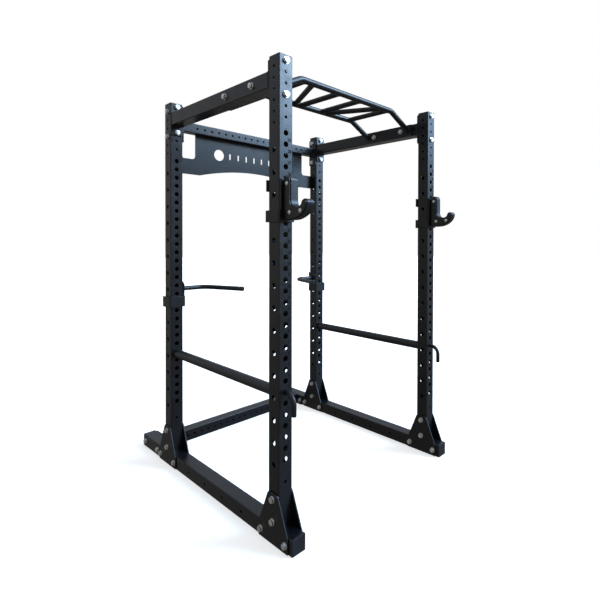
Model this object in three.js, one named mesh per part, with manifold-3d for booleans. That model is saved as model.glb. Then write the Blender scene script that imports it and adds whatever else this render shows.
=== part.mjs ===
// Power cage: four perforated box-section uprights on two floor beams, tied by top beams, rear cross
// members and a multi-grip pull-up bar, with two bar hooks, two pin-and-pipe safeties and two dip handles.
// Millimetres, +X to the user's right, front at -Y, +Z up, floor at z = 0.
import * as THREE from 'three';
import { mergeVertices } from 'three/addons/utils/BufferGeometryUtils.js';
import Module from 'manifold-3d';

const wasm = await Module();
wasm.setup();

// ---- driving dimensions ---------------------------------------------------------------------
const SPAN_X = 1175;            // upright centre to upright centre, across
const SPAN_Y = 1040;            // front upright centre to rear upright centre
const Y_FRONT = -598;           // centre line of the front uprights
const Y_REAR = Y_FRONT + SPAN_Y;
const TUBE = 75;                // square section of uprights and beams
const WALL = 3;
const HALF = TUBE / 2;
const UPRIGHT_TOP = 2172;       // top of the tube, below its cap
const CAP = 3;                  // thickness of every end cap
const PLUG = 12;                // depth of a cap's plug inside the tube
const GAP = 0.3;                // clearance between pieces that only rest on each other

const HOLE_R = 13.5;            // corner radius of the faceted adjustment hole
const HOLE_SIDES = 6;
const HOLE_FIRST = 380;         // height of the lowest front hole
const HOLE_PITCH = 50;
const HOLE_COUNT = 30;
const SIDE_FIRST = 355;         // side holes sit half a pitch lower
const SIDE_PITCH = 100;
const SIDE_COUNT = 15;

const BASE_FRONT = -130;        // front end of a floor beam, from the front upright's centre
const BASE_REAR = 358;          // rear end of a floor beam, from the rear upright's centre
const BASE_BOLT = 37.5;         // height of the bolts through the floor beams
const BOLT_PITCH = 175;         // spacing of the two floor-beam bolts of a gusset or flange

const GUSSET = { thick: 6, top: 232, topHalf: 37.5, baseHalf: 106, shoulder: 62, bottom: 2 };
const GUSSET_BOLTS = [103, 203];
const BOLT = { shaft: 6, washer: 14, washerH: 2.5, head: 12, headH: 9, sides: 6 };

const FLANGE = 8;               // thickness of welded end flanges
const TOP_Z = 2075;             // centre height of the top side beams
const TOP_FLANGE_H = 186;
const FLANGE_PORT = 22;         // radius of the opening inside a flange, behind the tube
const REAR_Z = 2050;            // centre height of the rear top member
const REAR_TUBE = 60;
const REAR_FLANGE_H = 200;
const LOW_BACK = 235;           // lower rear member, behind the rear uprights' centre
const LOW_FLANGE_L = 215;

const SIGN = {
  y: 15, thick: 4, inner: 442, outer: 546, windowLow: 1866, windowR: 24, earLow: 1768, archX: 410, archZ: 1823,
  returnFrom: -32, cutZ: 1916, discX: -274, discR: 36, slotFirst: -192, slotPitch: 64, slots: 8, slotR: 6, slotH: 40,
};

const PULL = {
  frontY: 117, rearY: 453, z: 2165, bendX: 368, tubeR: 17, bendR: 70, plateZ: 2075, plateH: 74,
  gripR: 15, straightX: [86, 340], slantFrontX: 285, slantRearX: 126, plateOver: 32,
};

const HOOK_PIN_Z = 1530;        // the hooks' locating hole
const SLEEVE = { clear: 3, plate: 9 };
const HOOK = {
  plateLow: 1436, plateTop: 1625, bandTop: 1488, tabLow: 1573, coreHalf: 19, side: 6, pinR: 10.5, pinIn: 30,
  back: -56, front: -92, crown: 1614, cradleY: -130, cradleZ: 1533, tipY: -184, tipZ: 1513, tipR: 14,
  toe: 1447, lip: 4,
};

const SAFETY_Z = 680;           // height of the safety pins
const PIN = { r: 10.5, reach: 95, bendR: 46, low: 585, rearOut: 14 };
const PIPE = { r: 25, bore: 22, endGap: 2 };

const DIP_Z = 1055;             // height of the dip handles' locating pin
const DIP = {
  low: 950, bandTop: 1014, top: 1099, barR: 14, run: 103, bendR: 67, splay: 0.33, reach: 250, cap: 8,
  pinIn: 40, chamfer: 16,
};

// ---- materials ------------------------------------------------------------------------------
const finish = (color, roughness, metalness) => new THREE.MeshStandardMaterial({ color, roughness, metalness });
const BLACK = () => finish('#24272b', 0.55, 0.2);
const DARK = () => finish('#1d1f22', 0.5, 0.2);
const PLASTIC = () => finish('#26282b', 0.6, 0);
const ZINC = () => finish('#b4b7ba', 0.35, 0.9);

// ---- solids ---------------------------------------------------------------------------------
function solid(geometry) {
  const bare = geometry.clone();
  bare.deleteAttribute('normal');
  bare.deleteAttribute('uv');
  const merged = mergeVertices(bare, 1e-3);
  const made = new wasm.Manifold(new wasm.Mesh({
    numProp: 3,
    vertProperties: new Float32Array(merged.attributes.position.array),
    triVerts: new Uint32Array(merged.index.array),
  }));
  return made;
}

const join = (parts) => parts.reduce((sum, part) => sum.add(part));
const cut = (body, cutters) => cutters.reduce((left, cutter) => left.subtract(cutter), body);

function box(x, y, z) {
  const size = [x, y, z].map(([low, high]) => high - low);
  const centre = [x, y, z].map(([low, high]) => (low + high) / 2);
  return solid(new THREE.BoxGeometry(...size).translate(...centre));
}

// Prism with n sides whose axis runs along 'x', 'y' or 'z' between two coordinates.
function prism(axis, [low, high], [u, v], radius, sides) {
  const geometry = new THREE.CylinderGeometry(radius, radius, high - low, sides);
  const middle = (low + high) / 2;
  if (axis === 'x') geometry.rotateZ(Math.PI / 2).translate(middle, u, v);
  if (axis === 'y') geometry.translate(u, middle, v);
  if (axis === 'z') geometry.rotateX(Math.PI / 2).translate(u, v, middle);
  return solid(geometry);
}

// Outline in the Y-Z plane, extruded along X.
function slabX(shape, [low, high], curveSegments = 5) {
  const geometry = new THREE.ExtrudeGeometry(shape, { depth: high - low, bevelEnabled: false, curveSegments });
  const basis = new THREE.Matrix4().makeBasis(
    new THREE.Vector3(0, 1, 0), new THREE.Vector3(0, 0, 1), new THREE.Vector3(1, 0, 0));
  return solid(geometry.applyMatrix4(basis).translate(low, 0, 0));
}

// Outline in the X-Z plane, extruded along Y.
function slabY(shape, [low, high], curveSegments = 5) {
  const geometry = new THREE.ExtrudeGeometry(shape, { depth: high - low, bevelEnabled: false, curveSegments });
  const basis = new THREE.Matrix4().makeBasis(
    new THREE.Vector3(1, 0, 0), new THREE.Vector3(0, 0, 1), new THREE.Vector3(0, -1, 0));
  return solid(geometry.applyMatrix4(basis).translate(0, high, 0));
}

function outline(points) {
  return new THREE.Shape(points.map(([a, b]) => new THREE.Vector2(a, b)));
}

// A path that is sampled exactly at its own corner points.
class Route extends THREE.Curve {
  constructor(points) {
    super();
    this.points = points;
  }

  getPointAt(u) {
    return this.points[Math.round(u * (this.points.length - 1))].clone();
  }

  getTangentAt(u) {
    const at = Math.round(u * (this.points.length - 1));
    const from = this.points[Math.max(at - 1, 0)];
    const here = this.points[at];
    const to = this.points[Math.min(at + 1, this.points.length - 1)];
    const arriving = here.clone().sub(from).normalize();
    const leaving = to.clone().sub(here).normalize();
    return arriving.add(leaving).normalize();
  }
}

// Round bar through the corner points, each inner corner rounded to the given radius.
function bar(corners, radius, bendRadius, sides = 10, bendSteps = 4) {
  const points = [corners[0].clone()];
  for (let i = 1; i < corners.length - 1; i += 1) {
    const back = corners[i - 1].clone().sub(corners[i]).normalize();
    const on = corners[i + 1].clone().sub(corners[i]).normalize();
    const half = back.angleTo(on) / 2;
    const trim = bendRadius / Math.tan(half);
    const centre = corners[i].clone().add(back.clone().add(on).normalize().multiplyScalar(bendRadius / Math.sin(half)));
    const start = corners[i].clone().addScaledVector(back, trim).sub(centre);
    const end = corners[i].clone().addScaledVector(on, trim).sub(centre);
    const sweep = start.angleTo(end);
    for (let s = 0; s <= bendSteps; s += 1) {
      const t = s / bendSteps;
      const arc = start.clone().multiplyScalar(Math.sin((1 - t) * sweep) / Math.sin(sweep));
      points.push(arc.addScaledVector(end, Math.sin(t * sweep) / Math.sin(sweep)).add(centre));
    }
  }
  points.push(corners[corners.length - 1].clone());
  const ring = [];
  for (let i = 0; i < sides; i += 1) {
    const angle = (2 * Math.PI * i) / sides;
    ring.push([radius * Math.cos(angle), radius * Math.sin(angle)]);
  }
  const path = new Route(points);
  return solid(new THREE.ExtrudeGeometry(outline(ring), { steps: points.length - 1, extrudePath: path }));
}

const vec = (x, y, z) => new THREE.Vector3(x, y, z);

// ---- assembly -------------------------------------------------------------------------------
const group = new THREE.Group();
group.name = 'power_cage';

function place(name, body, material) {
  const data = body.getMesh();
  const geometry = new THREE.BufferGeometry();
  geometry.setAttribute('position', new THREE.BufferAttribute(new Float32Array(data.vertProperties), 3));
  geometry.setIndex(new THREE.BufferAttribute(new Uint32Array(data.triVerts), 1));
  geometry.computeVertexNormals();
  const mesh = new THREE.Mesh(geometry, material);
  mesh.name = name;
  group.add(mesh);
}

const SIDES = [{ tag: 'left', s: -1 }, { tag: 'right', s: 1 }];
const ENDS = [{ tag: 'front', y: Y_FRONT }, { tag: 'rear', y: Y_REAR }];
const centreX = (s) => (s * SPAN_X) / 2;
const around = (centre, half) => [centre - half, centre + half];
const span = (a, b) => [Math.min(a, b), Math.max(a, b)];

// Box-section tube along one axis, open at both ends.
function squareTube(axis, along, [u, v], size = TUBE) {
  const half = size / 2;
  const extents = (h, run) => {
    if (axis === 'x') return [run, around(u, h), around(v, h)];
    if (axis === 'y') return [around(u, h), run, around(v, h)];
    return [around(u, h), around(v, h), run];
  };
  const overrun = [along[0] - 1, along[1] + 1];
  return box(...extents(half, along)).subtract(box(...extents(half - WALL, overrun)));
}

const boltCutter = (x, y, z) => prism('x', x, [y, z], BOLT.shaft + GAP, BOLT.sides);

function upright(s, y) {
  const x = centreX(s);
  const holes = [];
  for (let k = 0; k < HOLE_COUNT; k += 1) {
    holes.push(prism('y', around(y, TUBE), [x, HOLE_FIRST + k * HOLE_PITCH], HOLE_R, HOLE_SIDES));
  }
  for (let k = 0; k < SIDE_COUNT; k += 1) {
    holes.push(prism('x', around(x, TUBE), [y, SIDE_FIRST + k * SIDE_PITCH], HOLE_R, HOLE_SIDES));
  }
  GUSSET_BOLTS.forEach((z) => holes.push(boltCutter(around(x, TUBE), y, z)));
  return cut(squareTube('z', [TUBE, UPRIGHT_TOP], [x, y]), holes);
}

function gussetShape(y) {
  const corner = GUSSET.topHalf - 9;
  return outline([
    [y - GUSSET.baseHalf, GUSSET.bottom], [y + GUSSET.baseHalf, GUSSET.bottom],
    [y + GUSSET.baseHalf, GUSSET.shoulder], [y + GUSSET.topHalf, GUSSET.top - 8], [y + corner, GUSSET.top],
    [y - corner, GUSSET.top], [y - GUSSET.topHalf, GUSSET.top - 8], [y - GUSSET.baseHalf, GUSSET.shoulder],
  ]);
}

// Through bolt along X: washer and head outside, washer and nut inside, one piece on its shaft.
function throughBolt(s, x, y, z) {
  const reach = HALF + GUSSET.thick;
  const seat = reach + BOLT.washerH;
  const end = seat + BOLT.headH;
  const profile = [
    [0, -end], [BOLT.head, -end], [BOLT.head, -seat], [BOLT.washer, -seat],
    [BOLT.washer, -reach], [BOLT.shaft, -reach], [BOLT.shaft, reach], [BOLT.washer, reach],
    [BOLT.washer, seat], [BOLT.head, seat], [BOLT.head, end], [0, end],
  ].map(([r, h]) => new THREE.Vector2(r, h));
  return solid(new THREE.LatheGeometry(profile, BOLT.sides).rotateZ(Math.PI / 2).translate(x, y, z));
}

for (const { tag: side, s } of SIDES) {
  const x = centreX(s);
  const baseRun = [Y_FRONT + BASE_FRONT + CAP, Y_REAR + BASE_REAR - CAP];
  const baseHoles = [];

  for (const { tag: end, y } of ENDS) {
    const corner = `${end}_${side}`;
    place(`upright_${corner}`, upright(s, y), BLACK());
    const capTop = box(around(x, HALF - GAP), around(y, HALF - GAP), [UPRIGHT_TOP, UPRIGHT_TOP + CAP]);
    const capPlug = box(around(x, HALF - WALL - GAP), around(y, HALF - WALL - GAP), [UPRIGHT_TOP - PLUG, UPRIGHT_TOP]);
    place(`cap_${corner}`, capTop.add(capPlug), PLASTIC());

    const bolts = GUSSET_BOLTS.map((z) => [y, z]);
    [-1, 1].forEach((d) => bolts.push([y + (d * BOLT_PITCH) / 2, BASE_BOLT]));
    const bores = bolts.map(([by, bz]) => boltCutter(around(x, TUBE), by, bz));
    baseHoles.push(...bores.slice(2));
    for (const [face, d] of [['outer', s], ['inner', -s]]) {
      const layer = span(x + d * HALF, x + d * (HALF + GUSSET.thick));
      place(`gusset_${corner}_${face}`, cut(slabX(gussetShape(y), layer), bores), DARK());
    }
    bolts.forEach(([by, bz], i) => place(`bolt_${corner}_${i + 1}`, throughBolt(s, x, by, bz), ZINC()));
  }

  place(`floor_beam_${side}`, cut(squareTube('y', baseRun, [x, HALF]), baseHoles), BLACK());
  for (const [end, y, d] of [['front', baseRun[0], -1], ['rear', baseRun[1], 1]]) {
    const plate = box(around(x, HALF - GAP), span(y, y + d * CAP), around(HALF, HALF - GAP));
    const plug = box(around(x, HALF - WALL - GAP), span(y, y - d * PLUG), around(HALF, HALF - WALL - GAP));
    place(`floor_cap_${end}_${side}`, plate.add(plug), PLASTIC());
  }

  // Top side beam with an end flange against each upright.
  const run = [Y_FRONT + HALF, Y_REAR - HALF];
  const tube = squareTube('y', [run[0] + FLANGE, run[1] - FLANGE], [x, TOP_Z]);
  const flanges = [[run[0], run[0] + FLANGE], [run[1] - FLANGE, run[1]]].map((layer) => (
    box(around(x, HALF), layer, around(TOP_Z, TOP_FLANGE_H / 2))
      .subtract(prism('y', [layer[0] - 1, layer[1] + 1], [x, TOP_Z], FLANGE_PORT, 8))));
  place(`top_beam_${side}`, join([tube, ...flanges]), BLACK());
}

// Box member along X with an end flange at each side; the flange outline is given in Y and Z.
function crossMember(y, z, size, flangeY, flangeZ) {
  const inner = SPAN_X / 2 - HALF;
  const tube = squareTube('x', [-inner + FLANGE, inner - FLANGE], [y, z], size);
  const flanges = [-1, 1].map((d) => {
    const layer = span(d * inner, d * (inner - FLANGE));
    return box(layer, flangeY, flangeZ).subtract(prism('x', [layer[0] - 1, layer[1] + 1], [y, z], FLANGE_PORT, 8));
  });
  return join([tube, ...flanges]);
}

place('rear_top_member',
  crossMember(Y_REAR, REAR_Z, REAR_TUBE, around(Y_REAR, HALF), around(REAR_Z, REAR_FLANGE_H / 2)), BLACK());
place('rear_floor_member',
  crossMember(Y_REAR + LOW_BACK, HALF, TUBE, around(Y_REAR + LOW_BACK, LOW_FLANGE_L / 2), [0, TUBE]), BLACK());

// Plate under the rear top member: window and ear at each end, arched lower edge, a disc and plain slots cut out.
function signPlate() {
  const top = REAR_Z - REAR_TUBE / 2;
  const shape = new THREE.Shape();
  shape.moveTo(-SIGN.inner, top);
  shape.lineTo(-SIGN.inner, SIGN.windowLow + SIGN.windowR);
  shape.quadraticCurveTo(-SIGN.inner, SIGN.windowLow, -SIGN.inner - SIGN.windowR, SIGN.windowLow);
  shape.lineTo(-SIGN.outer, SIGN.windowLow);
  shape.lineTo(-SIGN.outer, SIGN.earLow);
  shape.lineTo(-SIGN.archX, SIGN.earLow);
  shape.quadraticCurveTo(0, 2 * SIGN.archZ - SIGN.earLow, SIGN.archX, SIGN.earLow);
  shape.lineTo(SIGN.outer, SIGN.earLow);
  shape.lineTo(SIGN.outer, SIGN.windowLow);
  shape.lineTo(SIGN.inner + SIGN.windowR, SIGN.windowLow);
  shape.quadraticCurveTo(SIGN.inner, SIGN.windowLow, SIGN.inner, SIGN.windowLow + SIGN.windowR);
  shape.lineTo(SIGN.inner, top);
  const layer = around(Y_REAR + SIGN.y, SIGN.thick / 2);
  const through = [layer[0] - 1, layer[1] + 1];
  const inner = SPAN_X / 2 - HALF;
  const returns = [-1, 1].map((d) => box(span(d * inner, d * (inner - SIGN.thick)),
    [Y_REAR + SIGN.returnFrom, layer[1]], [SIGN.earLow, SIGN.windowLow]));
  const cuts = [prism('y', through, [SIGN.discX, SIGN.cutZ], SIGN.discR, 24)];
  for (let k = 0; k < SIGN.slots; k += 1) {
    const x = SIGN.slotFirst + k * SIGN.slotPitch;
    cuts.push(box(around(x, SIGN.slotR), through, around(SIGN.cutZ, SIGN.slotH / 2)));
  }
  return cut(join([slabY(shape, layer, 10), ...returns]), cuts);
}
place('sign_plate', signPlate(), BLACK());

// Multi-grip pull-up bar: two raised rails with sloping legs, six cross grips, two end plates.
function pullUpBar() {
  const inner = SPAN_X / 2 - HALF;
  const root = inner - FLANGE / 2;
  const rails = [PULL.frontY, PULL.rearY].map((dy) => {
    const y = Y_FRONT + dy;
    const knees = [vec(-root, y, PULL.plateZ), vec(-PULL.bendX, y, PULL.z), vec(PULL.bendX, y, PULL.z),
      vec(root, y, PULL.plateZ)];
    return bar(knees, PULL.tubeR, PULL.bendR, 10, 3);
  });
  const grip = (xFront, xRear) => bar([vec(xFront, Y_FRONT + PULL.frontY, PULL.z),
    vec(xRear, Y_FRONT + PULL.rearY, PULL.z)], PULL.gripR, 0, 8);
  const grips = [];
  for (const d of [-1, 1]) {
    PULL.straightX.forEach((x) => grips.push(grip(d * x, d * x)));
    grips.push(grip(d * PULL.slantFrontX, d * PULL.slantRearX));
  }
  const plates = [-1, 1].map((d) => box(span(d * inner, d * (inner - FLANGE)),
    [Y_FRONT + PULL.frontY - PULL.plateOver, Y_FRONT + PULL.rearY + PULL.plateOver],
    around(PULL.plateZ, PULL.plateH / 2)));
  const beyond = [-1, 1].map((d) => box(span(d * inner, d * (inner + TUBE)), around(Y_FRONT, SPAN_Y),
    around(PULL.plateZ, TUBE)));
  return cut(join([...rails, ...grips, ...plates]), beyond);
}
place('pull_up_bar', pullUpBar(), BLACK());

// Outline of a hook in Y and Z, grown outwards by lip where the bar touches it.
function hookShape(y, lip, back) {
  const { front, crown, cradleY, cradleZ, tipY, tipZ, tipR, toe } = HOOK;
  const stem = front - lip;
  const drop = cradleY - front;
  const floor = cradleZ + drop + lip;
  const crownR = (HOOK.back - stem) / 2;
  const at = (dy) => y + dy;
  const shape = new THREE.Shape();
  shape.moveTo(at(back), toe + 20);
  shape.lineTo(at(back), crown);
  shape.absarc(at(stem + crownR), crown, crownR, 0, Math.PI, false);
  shape.lineTo(at(stem), cradleZ);
  shape.quadraticCurveTo(at(stem), floor, at(cradleY - 4), floor);
  shape.quadraticCurveTo(at(tipY + 26), floor, at(tipY + tipR + lip), tipZ);
  shape.absarc(at(tipY), tipZ, tipR + lip, 0, Math.PI, false);
  shape.quadraticCurveTo(at(tipY - 2), toe + 8 - lip, at(cradleY + 32), toe - lip);
  shape.lineTo(at(HOOK.back - 18), toe - lip);
  shape.quadraticCurveTo(at(back), toe - lip, at(back), toe + 20);
  return shape;
}

for (const { tag: side, s } of SIDES) {
  const x = centreX(s);
  const y = Y_FRONT;
  const near = HALF + SLEEVE.clear;
  const far = near + SLEEVE.plate;

  // Sleeve: plate on the front face, low band round the left side, high tab round the right side.
  const front = [y - far, y - near];
  const rear = [y + near, y + far];
  const sleeve = join([
    box([x - far, x + HALF], front, [HOOK.plateLow, HOOK.bandTop]),
    box([x - far, x - near], [front[0], rear[1]], [HOOK.plateLow, HOOK.bandTop]),
    box([x - far, x + HALF - 12], rear, [HOOK.plateLow, HOOK.bandTop]),
    box([x - HALF, x + HALF], front, [HOOK.bandTop - 1, HOOK.tabLow + 1]),
    box([x - HALF, x + far], front, [HOOK.tabLow, HOOK.plateTop]),
    box([x + near, x + far], [front[0], rear[1]], [HOOK.tabLow, HOOK.plateTop]),
    box([x - HALF - 6, x + far], rear, [HOOK.tabLow, HOOK.plateTop]),
    prism('y', [y - near - 1, y + HOOK.pinIn], [x, HOOK_PIN_Z], HOOK.pinR, 8),
  ]);
  place(`hook_sleeve_${side}`, sleeve, DARK());
  place(`hook_core_${side}`, slabX(hookShape(y, HOOK.lip, -far), around(x, HOOK.coreHalf)), PLASTIC());
  for (const [face, d] of [['a', -1], ['b', 1]]) {
    const layer = span(x + d * HOOK.coreHalf, x + d * (HOOK.coreHalf + HOOK.side));
    place(`hook_cheek_${side}_${face}`, slabX(hookShape(y, 0, HOOK.back), layer), DARK());
  }

  // Safety: long pin with a turned-down handle, and a loose pipe hanging on it between the uprights.
  const pin = bar([vec(x, Y_REAR + HALF + PIN.rearOut, SAFETY_Z), vec(x, y - PIN.reach, SAFETY_Z),
    vec(x, y - PIN.reach, PIN.low)], PIN.r, PIN.bendR, 10, 5);
  place(`safety_pin_${side}`, pin, DARK());
  const pipeZ = SAFETY_Z - (PIPE.bore * Math.cos(Math.PI / 16) - PIN.r - GAP);
  const pipeRun = [y + HALF + PIPE.endGap, Y_REAR - HALF - PIPE.endGap];
  const pipe = prism('y', pipeRun, [x, pipeZ], PIPE.r, 16)
    .subtract(prism('y', [pipeRun[0] - 1, pipeRun[1] + 1], [x, pipeZ], PIPE.bore, 16));
  place(`safety_pipe_${side}`, pipe, BLACK());

  // Dip handle: plate on the rear upright's inner face, band round its front and outer side, splayed bar.
  const faceX = (d) => x - s * d;
  const plateY = [Y_REAR - far, Y_REAR + HALF];
  const plateShape = outline([
    [plateY[0], DIP.low], [plateY[1], DIP.low], [plateY[1], DIP.top],
    [Y_REAR - HALF + DIP.chamfer, DIP.top], [Y_REAR - HALF, DIP.top - DIP.chamfer], [Y_REAR - HALF, DIP.bandTop],
    [plateY[0], DIP.bandTop],
  ]);
  const inward = Math.sin(DIP.splay);
  const forward = Math.cos(DIP.splay);
  const rootX = far;
  const elbow = rootX + DIP.run + DIP.bendR * Math.tan((Math.PI / 2 - DIP.splay) / 2);
  const tail = DIP.reach + DIP.bendR * Math.tan((Math.PI / 2 - DIP.splay) / 2);
  const along = (t) => vec(faceX(elbow + inward * t), Y_REAR - forward * t, DIP_Z);
  const handle = join([
    slabX(plateShape, span(faceX(near), faceX(far))),
    box(span(faceX(far), faceX(-far)), [Y_REAR - far, Y_REAR - near], [DIP.low, DIP.bandTop]),
    box(span(faceX(-near), faceX(-far)), [Y_REAR - far, Y_REAR + HALF + 6], [DIP.low, DIP.bandTop]),
    prism('x', span(faceX(near + 1), faceX(near - DIP.pinIn)), [Y_REAR, DIP_Z], HOOK.pinR, 8),
    bar([vec(faceX(rootX - 1), Y_REAR, DIP_Z), vec(faceX(elbow), Y_REAR, DIP_Z), along(tail)],
      DIP.barR, DIP.bendR, 10, 5),
  ]);
  place(`dip_handle_${side}`, handle, DARK());
  place(`dip_cap_${side}`, bar([along(tail + GAP), along(tail + DIP.cap)], DIP.barR + 1, 0, 10), PLASTIC());
}

export default group;
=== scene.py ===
"""Power cage: detailed pieces, materials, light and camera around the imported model."""

import math
from functools import cache

import bmesh
import bpy
from mathutils import Matrix, Vector


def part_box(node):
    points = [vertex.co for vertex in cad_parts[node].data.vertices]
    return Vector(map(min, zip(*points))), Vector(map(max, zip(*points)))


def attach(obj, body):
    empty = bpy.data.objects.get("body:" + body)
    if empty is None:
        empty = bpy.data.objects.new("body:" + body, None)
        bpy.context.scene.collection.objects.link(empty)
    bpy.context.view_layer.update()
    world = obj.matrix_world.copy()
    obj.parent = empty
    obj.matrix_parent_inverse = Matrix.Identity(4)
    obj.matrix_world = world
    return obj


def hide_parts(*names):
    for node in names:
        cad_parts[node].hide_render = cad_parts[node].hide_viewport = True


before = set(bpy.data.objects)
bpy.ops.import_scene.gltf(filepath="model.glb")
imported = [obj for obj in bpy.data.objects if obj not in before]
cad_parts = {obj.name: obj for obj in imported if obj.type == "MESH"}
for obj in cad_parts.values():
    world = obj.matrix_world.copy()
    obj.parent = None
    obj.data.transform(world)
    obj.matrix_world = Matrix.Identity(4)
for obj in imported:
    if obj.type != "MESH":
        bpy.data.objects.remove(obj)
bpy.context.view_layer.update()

MM = 0.001
SIDES = {"left": -1, "right": 1}
ENDS = ("front", "rear")
AXES = {"x": (1, 2, 0), "y": (0, 2, 1), "z": (0, 1, 2)}  # row axes that local a, b and length follow

# ---- sizes ----
WALL = 3 * MM
CORNER = 4.2 * MM  # outer corner radius of the square tubes
HOLE = 12.5 * MM  # adjustment hole radius
SMALL = 7 * MM  # radius of the bolt-sized holes
BOLT_HOLE = 6.5 * MM
FLANGE = 8 * MM
HOLES_FRONT = [(380 + 50 * k) * MM for k in range(30)]
HOLES_SIDE = [(355 + 100 * k) * MM for k in range(15)]
SMALL_FRONT = [z * MM for z in (280, 1900, 1950, 2050, 2100)]
FLANGE_BOLTS = [2000 * MM, 2150 * MM]
SMALL_SIDE = [(1875 + 50 * k) * MM for k in range(6)]
MEMBER_BOLTS = [1975 * MM, 2125 * MM]
GUSSET_BOLTS = [103 * MM, 203 * MM]
BASE_HOLES = [(257.5 + 175 * k) * MM for k in range(4)]  # along a floor beam, from the front upright
PITCH = 50 * MM
TUBE = 75 * MM
TUBE_HALF = TUBE / 2
REAR_TUBE = 60 * MM  # square tube of the rear top member
CAP_SIZE = 74.4 * MM
FLANGE_GRIP = TUBE + FLANGE  # what a flange bolt clamps
GUSSET_GRIP = 87 * MM

DISC_X, DISC_R = -274 * MM, 36 * MM  # plain cut-outs of the sign plate
SLOT_Z, SLOT_FIRST, SLOT_PITCH, SLOT_COUNT = 1916 * MM, -192 * MM, 64 * MM, 8
SLOT_W, SLOT_H = 12 * MM, 40 * MM

RAIL_R, GRIP_R = 17 * MM, 15 * MM
RAIL_KNEE, RAIL_BEND = 368 * MM, 70 * MM
GRIPS = {"inner": (86, 86), "outer": (340, 340), "angled": (285, 126)}  # in mm, at front and rear
KNURL_PITCH = 2.4 * MM
KNURL_TEETH = 39
KNURL_HALF = 120 * MM

NEAR, FAR = 40.5 * MM, 49.5 * MM  # skins of a wrapped bracket, from the upright's axis
LINER = 2.5 * MM
STEEL = FAR - NEAR - LINER
INSET = STEEL + 0.05 * MM
LOCATING_R = 10.5  # locating pins, in mm
HOOK_PIN_Z = 1530 * MM
HOOK_LEVELS = [v * MM for v in (1436, 1488, 1573, 1625)]
HOOK_SCREWS = ((-74, 1602), (-92, 1476), (-163, 1481))  # y from the upright and z, in mm
CORE_HALF, CHEEK_OUT = 19 * MM, 25 * MM
SAFETY_Z, SAFETY_R, SAFETY_BEND = 680 * MM, 11.1 * MM, 46 * MM
PIPE_Z, PIPE_OUTER, PIPE_BORE = 669.22 * MM, 25 * MM, 22 * MM
DIP_Z, DIP_R, DIP_BEND, DIP_SPLAY = 1055 * MM, 14 * MM, 67 * MM, 0.33
DIP_LEVELS = [v * MM for v in (950, 1014, 1099)]
BOLT_HEX = 24 * MM  # across flats

# ---- light and camera ----
SKY_SIDE = (0.719, -0.695, 0.0)  # the bright side of the room
SKY_EDGE, SKY_FOOT = (0.03, 0.5), 0.012  # how the sky rises from the horizon
SKY_CROWN = (0.5, 0.95, 1.0, 0.3)  # how it fades overhead
SKY_SWEEP = (0.955, 0.995)  # how narrow the bright side is
SKY_DIM, SKY_BRIGHT = 0.28, 19.0
SKY_COLOUR = (0.4, 0.66, 1.0)
GROUND_COLOUR, GROUND_LIGHT = (1.0, 0.96, 0.9), (0.15, 0.35)
FLOOR_HALF = 30
KEY_AT, KEY_AIM = (3.4, -4.2, 4.6), (0.0, 0.0, 1.3)
KEY_SIZE, KEY_POWER, KEY_COLOUR = (2.5, 2.0), 90, (0.85, 0.93, 1.0)
CAMERA_AT = (-1.8136, -2.1670, 1.3575)
CAMERA_AZIMUTH, CAMERA_PITCH, CAMERA_ROLL = 0.8309, -0.0106, 0.0030
CAMERA_SENSOR, CAMERA_LENS, CAMERA_SHIFT = 36.0, 26.245, (-0.0909, -0.0922)


def middle(node):
    low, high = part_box(node)
    return (low + high) / 2


# ---- shapes: (points, faces) pairs ----
def merge(shapes):
    points, faces = [], []
    for part_points, part_faces in shapes:
        faces += [[i + len(points) for i in face] for face in part_faces]
        points += [tuple(p) for p in part_points]
    return points, faces


def turn(shape, axis, centre=(0, 0, 0), flip=1):
    """Lays a shape built along local Z along a row axis; centre is in row coordinates."""
    a, b, w = AXES[axis]
    out = []
    for p in shape[0]:
        q = [0, 0, 0]
        q[a], q[b], q[w] = p[0] + centre[a], p[1] + centre[b], flip * p[2] + centre[w]
        out.append(q)
    return out, shape[1]


def stitch(loops, closed=True, caps=False):
    """Quads between successive loops of the same length, and n-gons over the first and last if asked."""
    size = len(loops[0])
    faces = []
    for row in range(len(loops) - 1):
        for i in range(size if closed else size - 1):
            j = (i + 1) % size
            faces.append([row * size + i, row * size + j, (row + 1) * size + j, (row + 1) * size + i])
    if caps:
        faces.append(list(range(size))[::-1])
        faces.append([(len(loops) - 1) * size + i for i in range(size)])
    return [p for loop in loops for p in loop], faces


def circle(radius, height, sides):
    steps = [2 * math.pi * i / sides for i in range(sides)]
    return [(radius * math.cos(t), radius * math.sin(t), height) for t in steps]


def lathe(profile, sides=32):
    """Turned solid: profile is a list of (radius, height) from one flat end to the other."""
    return stitch([circle(r, h, sides) for r, h in profile], caps=True)


def in_mm(profile):
    return [(r * MM, h * MM) for r, h in profile]


def split_cells(run, holes, reach):
    """Cuts a face's run into cells: (low, high, hole or None)."""
    cells, at = [], run[0]
    holes = sorted(holes)
    for i, (centre, radius) in enumerate(holes):
        low = max(at, centre - reach)
        limit = (centre + holes[i + 1][0]) / 2 if i + 1 < len(holes) else run[1]
        high = min(centre + reach, limit)
        if low - at > 1e-6:
            cells.append((at, low, None))
        cells.append((low, high, (centre, radius)))
        at = high
    if run[1] - at > 1e-6:
        cells.append((at, run[1], None))
    return [(round(lo, 6), round(hi, 6), hole) for lo, hi, hole in cells]


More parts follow.
